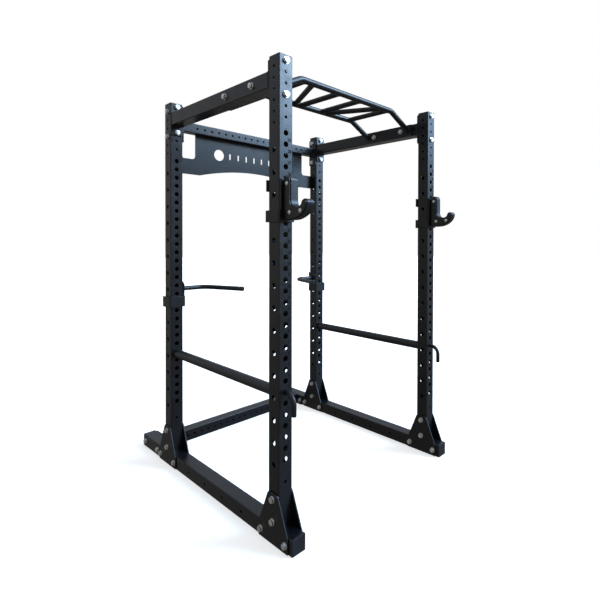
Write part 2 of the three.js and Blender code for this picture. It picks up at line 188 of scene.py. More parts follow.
def perforated_tube(run, size, holes, reach=25 * MM, across=8, step=6.25 * MM, lip=0.7 * MM):
    """Hollow square tube along local Z, corners rounded, every hole with a rounded lip.
    holes has a list of (position, radius) for each of the faces +A, +B, -A, -B."""
    half, flat = size / 2, size / 2 - CORNER
    faces_cells = [split_cells(run, face, reach) for face in holes]
    marks = sorted({m for cells in faces_cells for cell in cells for m in cell[:2]})
    levels = []
    for low, high in zip(marks, marks[1:]):
        count = max(1, round((high - low) / step))
        levels += [low + (high - low) * i / count for i in range(count)]
    levels.append(marks[-1])
    us = [-flat + 2 * flat * i / across for i in range(across + 1)]
    arc = [math.radians(15 * i) for i in range(7)]
    shapes, rims = [], ([], [])
    for side, cells in enumerate(faces_cells):
        c, s = math.cos(side * math.pi / 2), math.sin(side * math.pi / 2)

        def lay(u, z, depth):
            return (c * (half - depth) - s * u, s * (half - depth) + c * u, z)

        for low, high, hole in cells:
            rows = [z for z in levels if low - 1e-7 <= z <= high + 1e-7]
            if hole is None:
                for depth in (0, WALL):
                    shapes.append(stitch([[lay(u, z, depth) for u in us] for z in rows], closed=False))
                continue
            ring = [(u, rows[0]) for u in us] + [(flat, z) for z in rows[1:]]
            ring += [(u, rows[-1]) for u in us[-2::-1]] + [(-flat, z) for z in rows[-2:0:-1]]
            centre, radius = hole
            out = [Vector((u, z - centre)).normalized() for u, z in ring]
            steps = [(radius + lip, 0), (radius + 0.3 * lip, 0.3 * lip), (radius, lip)]
            steps += [(r, WALL - depth) for r, depth in reversed(steps)]
            loops = [[lay(u, z, 0) for u, z in ring]]
            loops += [[lay(r * d.x, centre + r * d.y, depth) for d in out] for r, depth in steps]
            loops.append([lay(u, z, WALL) for u, z in ring])
            shapes.append(stitch(loops))
        for rim, depth in zip(rims, (0, WALL)):
            radius = CORNER - depth
            bend = [(flat + radius * math.cos(t), flat + radius * math.sin(t)) for t in arc]
            bend = [(c * a - s * b, s * a + c * b) for a, b in bend]
            shapes.append(stitch([[(a, b, z) for a, b in bend] for z in levels], closed=False))
            rim += [lay(u, 0, depth)[:2] for u in us[:-1]] + bend[:-1]
    for z in (levels[0], levels[-1]):
        shapes.append(stitch([[(a, b, z) for a, b in rim] for rim in rims]))
    return merge(shapes)


def fillet(corners, radius, steps=10):
    """Points along a path whose inner corners are rounded."""
    corners = [Vector(p) for p in corners]
    path = [corners[0]]
    for before, corner, after in zip(corners, corners[1:], corners[2:]):
        back, on = (before - corner).normalized(), (after - corner).normalized()
        half = back.angle(on) / 2
        trim = radius / math.tan(half)
        centre = corner + (back + on).normalized() * radius / math.sin(half)
        start, end = ((corner + way * trim - centre).normalized() for way in (back, on))
        path += [centre + start.slerp(end, i / steps) * radius for i in range(steps + 1)]
    path.append(corners[-1])
    return path


def sweep(path, radii, sides=28, closed=False):
    """Round section carried along a path without twisting; radii is one number or one for each point."""
    path = [Vector(p) for p in path]
    count = len(path)
    radii = [radii] * count if isinstance(radii, (int, float)) else radii
    tangents = []
    for i in range(count):
        before = path[(i - 1) % count] if closed or i else path[i]
        after = path[(i + 1) % count] if closed or i < count - 1 else path[i]
        tangents.append((after - before).normalized())
    normal = tangents[0].orthogonal().normalized()
    loops = []
    for point, tangent, radius in zip(path, tangents, radii):
        normal = (normal - tangent * normal.dot(tangent)).normalized()
        side = tangent.cross(normal)
        loops.append([point + normal * a + side * b for a, b, _ in circle(radius, 0, sides)])
    if closed:
        loops.append(loops[0])
    return stitch(loops, caps=not closed)


def rod(path, radius, round_end=2 * MM, sides=28):
    """Sweep with both ends rounded over."""
    path = [Vector(p) for p in path]
    steps = [math.pi / 2 * i / 4 for i in range(5)]
    ends = [((1 - math.cos(t)) * round_end, math.sin(t) * round_end) for t in steps]
    start, finish = (path[1] - path[0]).normalized(), (path[-2] - path[-1]).normalized()
    lead = [(path[0] + start * d, radius - round_end + r) for d, r in ends]
    tail = [(path[-1] + finish * d, radius - round_end + r) for d, r in ends]
    whole = lead + [(p, radius) for p in path[1:-1]] + tail[::-1]
    return sweep([p for p, _ in whole], [r for _, r in whole], sides)


# ---- objects ----
def build(name, shape, material, body="frame", replaces=(), bevel=0, smooth=38, place=None):
    """Mesh object from a shape, welded, shaded, given its material and tied to its body."""
    mesh = bpy.data.meshes.new(name)
    mesh.from_pydata([tuple(p) for p in shape[0]], [], shape[1])
    work = bmesh.new()
    work.from_mesh(mesh)
    bmesh.ops.remove_doubles(work, verts=work.verts, dist=2e-6)
    bmesh.ops.recalc_face_normals(work, faces=work.faces)
    work.to_mesh(mesh)
    work.free()
    obj = bpy.data.objects.new(name, mesh)
    if place:
        obj.matrix_world = place
    bpy.context.scene.collection.objects.link(obj)
    mesh.polygons.foreach_set("use_smooth", [True] * len(mesh.polygons))
    mesh.set_sharp_from_angle(angle=math.radians(smooth))
    mesh.materials.append(material_for(material))
    if bevel:
        edge = obj.modifiers.new("edge", "BEVEL")
        edge.width, edge.segments, edge.limit_method = bevel, 3, "ANGLE"
        edge.angle_limit = math.radians(smooth)
    normals = obj.modifiers.new("normals", "WEIGHTED_NORMAL")
    normals.keep_sharp, normals.weight = not bevel, 80
    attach(obj, body)
    if replaces:
        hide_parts(*replaces)


def plate_mesh(outlines, axis, low, high, edge=0.8 * MM):
    """Flat plate with rounded edges: the first outline is its border, the others are cut through."""
    curve = bpy.data.curves.new("plate", "CURVE")
    curve.dimensions, curve.fill_mode = "2D", "BOTH"
    curve.extrude, curve.bevel_depth = (high - low) / 2 - edge, edge
    curve.offset, curve.bevel_resolution = -edge, 2
    for outline in outlines:
        spline = curve.splines.new("POLY")
        spline.points.add(len(outline) - 1)
        spline.points.foreach_set("co", [v for a, b in outline for v in (a, b, 0, 1)])
        spline.use_cyclic_u = True
    holder = bpy.data.objects.new("plate", curve)
    mesh = bpy.data.meshes.new_from_object(holder)
    bpy.data.objects.remove(holder)
    bpy.data.curves.remove(curve)
    points = [(v.co.x, v.co.y, v.co.z + (low + high) / 2) for v in mesh.vertices]
    faces = [list(p.vertices) for p in mesh.polygons]
    bpy.data.meshes.remove(mesh)
    return turn((points, faces), axis)


def rounded(points, radius, steps=5):
    """Closed outline with each corner rounded; radius is one number or one for each corner."""
    radii = [radius] * len(points) if isinstance(radius, (int, float)) else radius
    out = []
    for i, (corner, r) in enumerate(zip(points, radii)):
        if not r:
            out.append(tuple(corner))
            continue
        before, after = points[i - 1], points[(i + 1) % len(points)]
        arc = fillet([(*before, 0), (*corner, 0), (*after, 0)], r, steps)[1:-1]
        out += [(p.x, p.y) for p in arc]
    return out


def rectangle(a, b):
    return [(a[0], b[0]), (a[1], b[0]), (a[1], b[1]), (a[0], b[1])]


def around(centre, half):
    return (centre - half, centre + half)


def ordered(a, b):
    return (min(a, b), max(a, b))


# ---- materials ----
class Nodes:
    """Short way to write a node tree."""

    def __init__(self, tree):
        self.tree = tree

    def add(self, kind, inputs=None, **settings):
        node = self.tree.nodes.new("ShaderNode" + kind)
        for key, value in settings.items():
            setattr(node, key, value)
        for key, value in (inputs or {}).items():
            self.feed(node.inputs[key], value)
        return node

    def feed(self, target, value):
        if isinstance(value, bpy.types.NodeSocket):
            self.tree.links.new(value, target)
        else:
            target.default_value = value

    def span(self, value, low, high, to_low=0.0, to_high=1.0, **settings):
        inputs = {"Value": value, "From Min": low, "From Max": high, "To Min": to_low, "To Max": to_high}
        return self.add("MapRange", inputs, **settings).outputs["Result"]

    def math(self, operation, first, second=0.0):
        return self.add("Math", {0: first, 1: second}, operation=operation).outputs[0]

    def vector(self, operation, inputs, output="Vector"):
        return self.add("VectorMath", inputs, operation=operation).outputs[output]


class Coat(Nodes):
    """Material on the object's own coordinates."""

    def __init__(self, name):
        self.material = bpy.data.materials.new(name)
        self.material.use_nodes = True
        super().__init__(self.material.node_tree)
        self.shader = self.tree.nodes["Principled BSDF"]
        self.place = self.add("TexCoord").outputs["Object"]

    def link(self, output, name):
        self.tree.links.new(output, self.shader.inputs[name])

    def noise(self, scale, detail=3.0, roughness=0.55):
        inputs = {"Vector": self.place, "Scale": scale, "Detail": detail, "Roughness": roughness}
        return self.add("TexNoise", inputs).outputs["Fac"]

    def patches(self, scale, detail, low=0.35, high=0.65, to_low=0.0, to_high=1.0, roughness=0.55):
        """Noise stretched between two levels."""
        return self.span(self.noise(scale, detail, roughness), low, high, to_low, to_high)

    def blend(self, factor, first, second):
        node = self.add("Mix", data_type="RGBA")
        for socket, value in (("Factor_Float", factor), ("A_Color", first), ("B_Color", second)):
            value = (*value, 1) if isinstance(value, tuple) else value
            self.feed(next(i for i in node.inputs if i.identifier == socket), value)
        return next(o for o in node.outputs if o.identifier == "Result_Color")

    def colour(self, factor, first, second):
        self.link(self.blend(factor, first, second), "Base Color")

    def rough(self, scale, detail, low, high, roughness=0.55):
        self.link(self.patches(scale, detail, 0.3, 0.7, low, high, roughness), "Roughness")

    def bump(self, heights):
        """Adds bumps one after another: (height socket, strength, distance)."""
        normal = None
        for height, strength, distance in heights:
            inputs = {"Height": height, "Strength": strength, "Distance": distance}
            if normal:
                inputs["Normal"] = normal
            normal = self.add("Bump", inputs).outputs["Normal"]
        self.link(normal, "Normal")

    def constant(self, **values):
        for name, value in values.items():
            self.shader.inputs[name.replace("_", " ")].default_value = value


def powder_coat(name, deep, pale, rough, peel):
    """Black powder coat: orange peel, slow tone changes, faint dust and rubbed edges."""
    n = Coat(name)
    tone = n.blend(n.patches(9, 4), deep, pale)
    dust = n.math("MULTIPLY", n.patches(38, 6, 0.55, 0.8, roughness=0.7), 0.18)
    dusty = n.blend(dust, tone, (0.05, 0.052, 0.055))
    edges = n.span(n.add("NewGeometry").outputs["Pointiness"], 0.53, 0.62)
    rubbed = n.math("MULTIPLY", edges, n.patches(160, 4, 0.45, 0.6, 0.0, 0.55))
    n.colour(rubbed, dusty, (0.075, 0.08, 0.088))
    smear = n.math("ADD", n.patches(21, 5, 0.3, 0.7, rough - 0.05, rough + 0.06), dust)
    n.link(smear, "Roughness")
    n.constant(IOR=1.5, Specular_IOR_Level=0.5)
    n.bump([(n.noise(420, 2), peel, 0.0004), (n.noise(1500, 2), peel * 0.6, 0.0002)])
    return n.material


def moulded_plastic():
    """Black moulded plastic with a fine grained skin and scuffs."""
    n = Coat("moulded_plastic")
    n.colour(n.patches(14, 4), (0.007, 0.0075, 0.009), (0.013, 0.014, 0.016))
    n.rough(55, 6, 0.36, 0.55, 0.65)
    grain = n.add("TexVoronoi", {"Vector": n.place, "Scale": 1300.0}).outputs["Distance"]
    n.bump([(grain, 0.25, 0.0002), (n.noise(90, 5), 0.15, 0.0004)])
    return n.material


def zinc():
    """Bright zinc plating: cool and warm patches, fine machining marks, dulled in places."""
    n = Coat("zinc")
    tint = n.blend(n.patches(70, 4), (0.78, 0.82, 0.88), (0.9, 0.86, 0.76))
    n.colour(n.patches(260, 5, 0.55, 0.8, 0.0, 0.6, 0.7), tint, (0.42, 0.43, 0.45))
    n.rough(180, 5, 0.3, 0.5)
    n.constant(Metallic=1.0)
    n.bump([(n.noise(900, 3), 0.2, 0.0002)])
    return n.material


def knurled_coat():
    """Black coat over a diamond knurl cut round local Z."""
    n = Coat("knurled_coat")
    split = n.add("SeparateXYZ", {"Vector": n.place})
    round_angle = n.math("ARCTAN2", split.outputs["Y"], split.outputs["X"])
    turns = n.math("MULTIPLY", round_angle, KNURL_TEETH)
    along = n.math("MULTIPLY", split.outputs["Z"], 2 * math.pi / KNURL_PITCH)
    first = n.math("SINE", n.math("ADD", along, turns))
    second = n.math("SINE", n.math("SUBTRACT", along, turns))
    ridge = n.math("ADD", first, second)
    inside = n.math("LESS_THAN", n.math("ABSOLUTE", split.outputs["Z"]), KNURL_HALF)
    height = n.math("MULTIPLY", ridge, inside)
    tone = n.blend(n.patches(12, 4), (0.006, 0.0065, 0.0075), (0.01, 0.011, 0.0125))
    worn = n.math("MULTIPLY", n.span(height, 1.2, 2.0, 0.0, 0.6), n.patches(60, 4, 0.4, 0.7))
    n.colour(worn, tone, (0.09, 0.093, 0.098))
    n.rough(30, 5, 0.4, 0.55)
    n.bump([(height, 0.55, 0.0003), (n.noise(700, 2), 0.15, 0.0002)])
    return n.material


def marking():
    """Matt black marking, slightly uneven like a burnt-in number."""
    n = Coat("marking")
    n.colour(n.noise(500, 4), (0.003, 0.003, 0.004), (0.008, 0.008, 0.01))
    n.rough(300, 4, 0.7, 0.9)
    n.constant(Specular_IOR_Level=0.15)
    n.bump([(n.noise(1200, 3), 0.3, 0.0002)])
    return n.material


def floor_paint():
    """Pale matt floor that stays bright into the distance."""
    n = Coat("floor_paint")
    n.colour(n.noise(3, 5), (0.8, 0.8, 0.8), (0.83, 0.83, 0.825))
    n.rough(8, 4, 0.75, 0.9)
    away = n.vector("LENGTH", {0: n.place}, "Value")
    n.link(n.span(away, 1.0, 5.0, 0.6, 1.0), "Emission Strength")
    n.constant(Specular_IOR_Level=0.0, Emission_Color=(1, 1, 1, 1))
    n.bump([(n.noise(240, 3), 0.08, 0.0005)])
    return n.material


MATERIALS = {  # maker, slot and what the maker is given
    "tube": (powder_coat, "black_powder_coat",
             "tube_coat", (0.0035, 0.004, 0.0055), (0.0065, 0.0075, 0.0095), 0.3, 0.2),
    "plate": (powder_coat, "dark_powder_coat",
              "plate_coat", (0.0032, 0.0037, 0.005), (0.0058, 0.0065, 0.0082), 0.4, 0.25),
    "bar": (powder_coat, "dark_powder_coat",
            "bar_coat", (0.0035, 0.004, 0.0055), (0.006, 0.0068, 0.0085), 0.36, 0.15),
    "plastic": (moulded_plastic, "black_plastic"),
    "zinc": (zinc, "zinc_steel"),
    "knurl": (knurled_coat, "black_powder_coat"),
    "marking": (marking, "black_plastic"),
}


@cache
def material_for(key):
    """One material for every piece that asks for it."""
    make, _, *values = MATERIALS[key]
    return make(*values)


# ---- square tubes ----
def uprights():
    for side in SIDES:
        for end in ENDS:
            node = f"upright_{end}_{side}"
            low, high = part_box(node)
            faces_y = [(z, HOLE) for z in HOLES_FRONT] + [(z, SMALL) for z in SMALL_FRONT]
            faces_y += [(z, BOLT_HOLE) for z in FLANGE_BOLTS]
            faces_x = [(z, HOLE) for z in HOLES_SIDE] + [(z, SMALL) for z in SMALL_SIDE]
            faces_x += [(z, BOLT_HOLE) for z in GUSSET_BOLTS]
            shape = perforated_tube((low.z, high.z), TUBE, [faces_x, faces_y] * 2, reach=PITCH / 2)
            shape = turn(shape, "z", (*middle(node).xy, 0))
            build(node + "_tube", shape, "tube", replaces=[node])


def end_cap(node, axis, outward):
    """Moulded cap: rounded rim plate, a shallow raised field and the plug's shoulders."""
    low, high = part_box(node)
    a, b, w = AXES[axis]
    face = high[w] if outward > 0 else low[w]
    half = CAP_SIZE / 2
    border = rounded(rectangle((-half, half), (-half, half)), CORNER - 0.5 * MM, 6)
    centre = [0, 0, 0]
    centre[a], centre[b], centre[w] = (low[a] + high[a]) / 2, (low[b] + high[b]) / 2, face
    rings = []
    for inset, depth in ((0, 3.0), (0, 1.4), (0.5, 0.5), (1.5, 0.05), (3.2, 0), (9.5, 0), (10.5, 0.35),
                         (11.6, 0.45)):
        scale = (half - inset * MM) / half
        rings.append([(u * scale, v * scale, -depth * MM) for u, v in border])
    plug = [(u * (half - WALL - 0.4 * MM) / half, v * (half - WALL - 0.4 * MM) / half) for u, v in border]
    rings = [[(u, v, -depth) for u, v in plug] for depth in (12 * MM, 3 * MM)] + rings
    cap = turn(stitch(rings, caps=True), axis, centre, outward)
    build(node + "_moulded", cap, "plastic", replaces=[node], smooth=30)


def caps():
    for side in SIDES:
        for end in ENDS:
            end_cap(f"cap_{end}_{side}", "z", 1)
            end_cap(f"floor_cap_{end}_{side}", "y", -1 if end == "front" else 1)


def floor_beams():
    front = middle("upright_front_left").y
    rear = middle("upright_rear_left").y
    for side in SIDES:
        node = f"floor_beam_{side}"
        low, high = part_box(node)
        bolts = [y + d * 87.5 * MM for y in (front, rear) for d in (-1, 1)]
        flanged = [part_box("rear_floor_member")[i].y + d * 20 * MM for i, d in ((0, 1), (1, -1))]
        holes_x = [(y, BOLT_HOLE) for y in bolts + flanged]
        holes_x += [(front + y, SMALL) for y in BASE_HOLES]
        shape = perforated_tube((low.y, high.y), TUBE, [holes_x, []] * 2, reach=20 * MM)
        build(node + "_tube", turn(shape, "y", middle(node) * Vector((1, 0, 1))), "tube", replaces=[node])


def weld_bead(name, axis, centre, half, at, on_floor=False):
    """Rippled fillet weld round a square tube at its flange, left out underneath on the floor."""
    loop = rounded(rectangle((-half, half), (-half, half)), CORNER, 6)
    if on_floor:
        loop = [(half, 3 * MM - half)] + loop[14:28] + [(-half, 3 * MM - half)]
    points = []
    for (a0, b0), (a1, b1) in zip(loop, loop[1:] + ([] if on_floor else loop[:1])):
        count = max(1, round(math.hypot(a1 - a0, b1 - b0) / (2 * MM)))
        points += [(a0 + (a1 - a0) * i / count, b0 + (b1 - b0) * i / count, at) for i in range(count)]
    radii = [2.6 * MM + 0.35 * MM * math.sin(i * 1.9) for i in range(len(points))]
    shape = turn(sweep(points, radii, 10, closed=not on_floor), axis, centre)
    build(name, shape, "tube", smooth=80)


def flange(name, axis, a, b, layer, cut):
    """Welded end flange with clipped corners."""
    (a0, a1), (b0, b1) = a, b
    outline = [(a0 + cut, b0), (a1 - cut, b0), (a1, b0 + cut), (a1, b1 - cut), (a1 - cut, b1),
               (a0 + cut, b1), (a0, b1 - cut), (a0, b0 + cut)]
    build(name, plate_mesh([rounded(outline, 2 * MM, 3)], axis, *layer), "tube")


def pull_up_bolts():
    low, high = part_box("pull_up_bar")
    return (low.y + 85 * MM, high.y - 85 * MM)


def flanged_member(node, axis, size, centre, faces, clip):
    """Perforated tube with a flange and its weld at both ends."""
    low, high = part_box(node)
    a, b, w = AXES[axis]
    start, end = low[w], high[w]
    shape = perforated_tube((start + FLANGE, end - FLANGE), size, faces)
    build(node + "_tube", turn(shape, axis, centre), "tube", replaces=[node])
    layers = ((start, start + FLANGE), (end - FLANGE, end))
    welds = (start + FLANGE + 1 * MM, end - FLANGE - 1 * MM)
    for tag, layer, at in zip(ENDS if axis == "y" else SIDES, layers, welds):
        flange(f"{node}_flange_{tag}", axis, (low[a], high[a]), (low[b], high[b]), layer, clip)
        weld_bead(f"{node}_weld_{tag}", axis, centre, size / 2, at, on_floor=low.z < 1 * MM)


def top_beams():
    holes_x = [(y, BOLT_HOLE) for y in pull_up_bolts()]
    for side in SIDES:
        node = f"top_beam_{side}"
        spot = middle(node)
        flanged_member(node, "y", TUBE, (spot.x, 0, spot.z), [holes_x, []] * 2, 9 * MM)


def cross_members():
    for node, size, count in (("rear_top_member", REAR_TUBE, 9), ("rear_floor_member", TUBE, 10)):
        spot = middle(node)
        z = spot.z if node == "rear_top_member" else size / 2
        front = [(k * PITCH, SMALL) for k in range(-count, count + 1)]
        flanged_member(node, "x", size, (0, spot.y, z), [[], [], front, []], 5 * MM)


# ---- plates ----
def gussets():
    for side in SIDES:
        for end in ENDS:
            for face in ("outer", "inner"):
                node = f"gusset_{end}_{side}_{face}"
                low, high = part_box(node)
                y = (low.y + high.y) / 2
                base, top, shoulder = (high.y - low.y) / 2, TUBE_HALF, 62 * MM
                outline = [(y - base, low.z), (y + base, low.z), (y + base, shoulder),
                           (y + top, high.z - 9 * MM), (y + top - 9 * MM, high.z),
                           (y - top + 9 * MM, high.z), (y - top, high.z - 9 * MM), (y - base, shoulder)]
                radii = [5 * MM, 5 * MM, 8 * MM, 3 * MM, 3 * MM, 3 * MM, 3 * MM, 8 * MM]
                shape = plate_mesh([rounded(outline, radii)], "x", low.x, high.x, 0.9 * MM)
                build(node + "_plate", shape, "plate", replaces=[node])


def bezier(points, steps=12):
    """Points on a quadratic or cubic curve through its control points' hull, end left out."""
    out = []
    degree = len(points) - 1
    for i in range(steps):
        t = i / steps
        weights = [math.comb(degree, k) * t**k * (1 - t) ** (degree - k) for k in range(degree + 1)]
        out.append(tuple(sum(w * p[axis] for w, p in zip(weights, points)) for axis in (0, 1)))
    return out


def sign_plate():
    """Arched plate with a window at each end, a disc and a row of plain slots cut through."""
    low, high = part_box("sign_plate")
    top, ear, crown, window = high.z, low.z, 1823 * MM, 1866 * MM
    arch, inner, reach, corner = 410 * MM, 442 * MM, 546 * MM, 24 * MM
    arc = bezier([(0, crown), (arch / 2, crown), (arch, ear)], 24) + [(arch, ear)]
    right = arc[1:] + [(reach, ear), (reach, window), (inner + corner, window)]
    right += bezier([(inner + corner, window), (inner, window), (inner, window + corner)], 8)[1:]
    right += [(inner, window + corner), (inner, top)]
    border = [arc[0]] + right + [(-x, z) for x, z in right[::-1]]
    cuts = [[(p.x + DISC_X, p.y + SLOT_Z) for p in map(Vector, circle(DISC_R, 0, 48))]]
    for k in range(SLOT_COUNT):
        x = SLOT_FIRST + k * SLOT_PITCH
        slot = rectangle(around(x, SLOT_W / 2), around(SLOT_Z, SLOT_H / 2))
        cuts.append(rounded(slot, SLOT_W / 2 - 0.1 * MM))
    sheet = plate_mesh([border] + cuts, "y", high.y - 4 * MM, high.y)
    build("sign_plate_sheet", sheet, "plate", replaces=["sign_plate"])
    for tag, s in SIDES.items():
        x = ordered(s * high.x, s * (high.x - 4 * MM))
        outline = rounded(rectangle((low.y, high.y), (ear, window)), 3 * MM, 3)
        build(f"sign_plate_return_{tag}", plate_mesh([outline], "x", *x), "plate")


# ---- pull-up bar ----
def pull_up_bar():
    low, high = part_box("pull_up_bar")
    rails = (low.y + 32 * MM, high.y - 32 * MM)
    top, foot = high.z - RAIL_R, low.z + 37 * MM
    reach, knee = high.x - FLANGE / 2, RAIL_KNEE
    for tag, y in zip(ENDS, rails):
        path = fillet([(-reach, y, foot), (-knee, y, top), (knee, y, top), (reach, y, foot)], RAIL_BEND, 12)
        build(f"pull_up_rail_{tag}", sweep(path, RAIL_R, 36), "bar",
              replaces=["pull_up_bar"] if tag == "front" else ())
    for side, s in SIDES.items():
        for tag, (front, rear) in GRIPS.items():
            start = Vector((s * front * MM, rails[0], top))
            end = Vector((s * rear * MM, rails[1], top))
            grip(f"pull_up_grip_{tag}_{side}", start, end)
        x = ordered(s * high.x, s * (high.x - FLANGE))
        outline = rounded(rectangle((low.y, high.y), around(foot, 37 * MM)), 6 * MM)
        build(f"pull_up_plate_{side}", plate_mesh([outline], "x", *x), "plate")
        for tag, y in zip(ENDS, rails):
            leg = Vector((s * reach, y, foot)) - Vector((s * knee, y, top))
            slope = -leg.z / abs(leg.x)
            stretch = math.sqrt(1 + slope**2)
            at = s * (high.x - FLANGE)
            loop = [(at, y + a, foot + b * stretch + slope * 6 * MM) for a, b, _ in circle(RAIL_R, 0, 40)]
            build(f"pull_up_weld_{tag}_{side}", sweep(loop, ripple(40), 10, closed=True), "bar", smooth=80)


def ripple(count):
    return [2.4 * MM + 0.3 * MM * math.sin(i * 2.1) for i in range(count)]


def grip(name, start, end):
    """Knurled cross grip between the rails, with a weld where it meets each of them."""
    axis = end - start
    length = axis.length
    turned = axis.to_track_quat("Z", "Y").to_matrix().to_4x4()
    shape = lathe([(GRIP_R, -length / 2), (GRIP_R, length / 2)], 36)
    build(name, shape, "knurl", place=Matrix.Translation((start + end) / 2) @ turned)
    axis.normalize()
    across = axis.cross(Vector((0, 0, 1)))
    for tag, root, d in (("front", start, 1), ("rear", end, -1)):
        loop = []
        for out, rise, _ in circle(GRIP_R, 0, 36):
            along = (d * math.sqrt(RAIL_R**2 - rise**2) - across.y * out) / axis.y
            loop.append(root + axis * along + across * out + Vector((0, 0, rise)))
        build(f"{name}_weld_{tag}", sweep(loop, ripple(36), 8, closed=True), "bar", smooth=80)


# ---- wrapped sheet brackets ----
def wrapped_sheet(corners, bend, thick, rows, trim=None):
    """Sheet of even thickness following a plan path of (x, y) corners, its outer skin on the path.
    rows are (low z, high z, first mark, last mark); a mark is (corner, distance after it)."""
    corners = [Vector((*c, 0)) for c in corners]
    spans = [0.0]
    for before, after in zip(corners, corners[1:]):
        spans.append(spans[-1] + (after - before).length)
    marks = sorted({round(spans[c] + d, 6) for row in rows for c, d in row[2:]})
    centre = sum(corners, Vector()) / len(corners)
    stations = []
    for k, (start, end) in enumerate(zip(corners, corners[1:])):
        direction = (end - start).normalized()
        normal = Vector((direction.y, -direction.x, 0))
        if normal.dot((start + end) / 2 - centre) < 0:
            normal = -normal
        head = bend if k else 0
        tail = bend if k + 2 < len(corners) else 0
        inside = [m for m in marks if spans[k] + head < m < spans[k + 1] - tail]
        for at in sorted({spans[k] + head, *inside, spans[k + 1] - tail}):
            stations.append((at, start + direction * (at - spans[k]), normal))
        if tail:
            following = (corners[k + 2] - end).normalized()
            pivot = end - direction * bend + following * bend
            for i in range(1, 6):
                t = i / 6 * math.pi / 2
                out = -following * math.cos(t) + direction * math.sin(t)
                stations.append((spans[k + 1] - bend + 2 * bend * i / 6, pivot + out * bend, out))
    heights = sorted({z for row in rows for z in row[:2]})
    filled = set()
    for low, high, first, last in rows:
        a, b = spans[first[0]] + first[1], spans[last[0]] + last[1]
        for j, (z0, z1) in enumerate(zip(heights, heights[1:])):
            if z0 >= low - 1e-9 and z1 <= high + 1e-9:
                for i, (one, two) in enumerate(zip(stations, stations[1:])):
                    if one[0] >= a - 1e-6 and two[0] <= b + 1e-6:
                        filled.add((i, j))

    def corner(i, j, depth):
        _, point, normal = stations[i]
        p = point - normal * depth
        z = heights[j]
        return (p.x, p.y, trim(p, z) if trim else z)

    faces = []
    for i, j in sorted(filled):
        for depth in (0, thick):
            faces.append([corner(*ij, depth) for ij in ((i, j), (i + 1, j), (i + 1, j + 1), (i, j + 1))])
        for step, ends in (((-1, 0), ((i, j), (i, j + 1))), ((1, 0), ((i + 1, j), (i + 1, j + 1))),
                           ((0, -1), ((i, j), (i + 1, j))), ((0, 1), ((i, j + 1), (i + 1, j + 1)))):
            if (i + step[0], j + step[1]) not in filled:
                faces.append([corner(*ends[0], 0), corner(*ends[1], 0), corner(*ends[1], thick),
                              corner(*ends[0], thick)])
    points = [p for face in faces for p in face]
    return points, [list(range(4 * i, 4 * i + 4)) for i in range(len(faces))]


def bracket(name, plan, rows, body, node, trim=None):
    sheet = wrapped_sheet(plan, 8 * MM, STEEL, rows, trim)
    build(name, sheet, "plate", body, replaces=[node], bevel=1.2 * MM)


def liner(node, plan, rows, body):
    """Plastic sheet between a bracket and its upright."""
    sheet = wrapped_sheet(plan, 3 * MM, LINER - 0.2 * MM, rows)
    build(node + "_liner", sheet, "plastic", body, bevel=0.4 * MM)


def arc_points(centre, radius, start, end, steps=12):
    angles = [math.radians(start + (end - start) * i / steps) for i in range(steps + 1)]
    return [(centre[0] + radius * math.cos(t), centre[1] + radius * math.sin(t)) for t in angles]


def hook_outline(y, lip, back):
    """Side outline of a bar hook in (y, z), grown by lip where a bar touches it."""
    cradle_y, cradle_z, crown, toe = -130 * MM, 1533 * MM, 1614 * MM, 1447 * MM
    tip, tip_r = (-184 * MM, 1513 * MM), 14 * MM + lip
    front = -92 * MM - lip
    floor = cradle_z + cradle_y + 92 * MM + lip
    crown_r = (-56 * MM - front) / 2
    out = [(back, crown)] + arc_points((front + crown_r, crown), crown_r, 0, 180, 16)
    out += bezier([(front, cradle_z), (front, floor), (cradle_y - 4 * MM, floor)], 10)
    out += bezier([(cradle_y - 4 * MM, floor), (tip[0] + 26 * MM, floor), (tip[0] + tip_r, tip[1])], 8)
    out += arc_points(tip, tip_r, 0, 180, 12)[:-1]
    low = toe - lip
    out += bezier([(tip[0] - tip_r, tip[1]), (tip[0] - 2 * MM, low + 8 * MM),
                   (cradle_y + 32 * MM, low)], 14)
    out += bezier([(-74 * MM, low), (back, low), (back, toe + 20 * MM)], 8)
    return [(y + dy, z) for dy, z in out]


